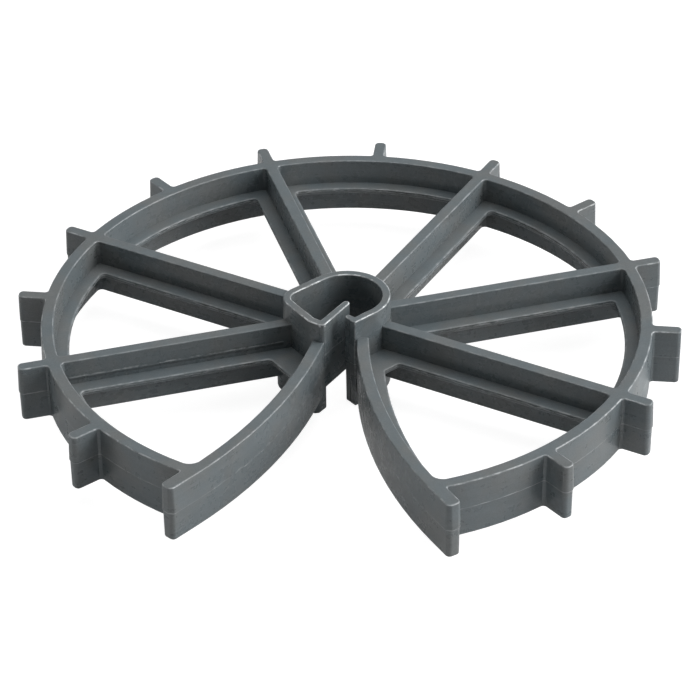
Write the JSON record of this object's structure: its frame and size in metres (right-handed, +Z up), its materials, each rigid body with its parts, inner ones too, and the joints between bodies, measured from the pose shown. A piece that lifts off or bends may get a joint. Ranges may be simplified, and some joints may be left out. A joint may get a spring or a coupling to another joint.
{
  "type": "rebar chair",
  "caption": "Moulded wheel-form rebar spacer with a toothed rim, radial spokes, an open mouth between curved arms, and a snap-in hub with a springy tongue.",
  "frame": {"origin": "on the wheel's axis at the hub's lower end, which is also the end of the round bar seat under the tongue", "axes": "+Z up along the bar and the wheel's axis, the mouth opens towards -Y, the hub's pocket lies towards -X"},
  "size_m": [0.168, 0.1613, 0.0254],
  "materials": {
    "plastic": "semi-gloss dark slate grey moulded plastic"
  },
  "bodies": {
    "root": {"wheel_chair": "plastic"}
  },
  "joints": []
}
